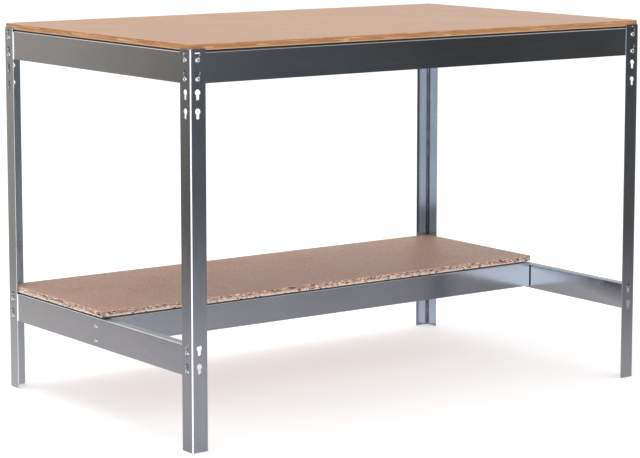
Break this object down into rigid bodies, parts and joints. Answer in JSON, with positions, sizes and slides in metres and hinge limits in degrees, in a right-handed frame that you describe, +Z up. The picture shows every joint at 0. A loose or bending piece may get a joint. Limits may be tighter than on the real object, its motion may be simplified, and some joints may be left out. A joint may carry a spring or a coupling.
{
  "type": "workbench",
  "caption": "Boltless workbench: galvanised angle posts with keyholes, folded beams hung on rivets, a board worktop and a half-depth chipboard shelf.",
  "frame": {"origin": "on the floor, midway between the four posts", "axes": "+X along the length of the bench, -Y towards the user at the front, +Z up"},
  "size_m": [1.2144, 0.7644, 0.825],
  "materials": {
    "galvanised_steel": "bright galvanised sheet, satin, with faint rolling lines",
    "plated_rivets": "zinc plated, half bright",
    "worktop_fibreboard": "smooth pale brown board, darker orange-brown sawn edge",
    "shelf_chipboard": "raw chipboard, sanded face, coarse flaked edge"
  },
  "bodies": {
    "root": {"post_front_left": "galvanised_steel", "post_front_right": "galvanised_steel", "post_back_right": "galvanised_steel", "post_back_left": "galvanised_steel", "top_beam_front": "galvanised_steel", "top_beam_right": "galvanised_steel", "top_beam_back": "galvanised_steel", "top_beam_left": "galvanised_steel", "lower_tie_left": "galvanised_steel", "lower_tie_right": "galvanised_steel", "lower_beam_back": "galvanised_steel", "shelf_beam_front": "galvanised_steel", "top_beam_rivets_front": "plated_rivets", "top_beam_rivets_right": "plated_rivets", "top_beam_rivets_back": "plated_rivets", "top_beam_rivets_left": "plated_rivets", "lower_tie_rivets_left": "plated_rivets", "lower_tie_rivets_right": "plated_rivets", "lower_beam_rivets_back": "plated_rivets", "shelf_beam_rivets": "plated_rivets", "worktop_board": "worktop_fibreboard", "shelf_board": "shelf_chipboard"}
  },
  "joints": []
}
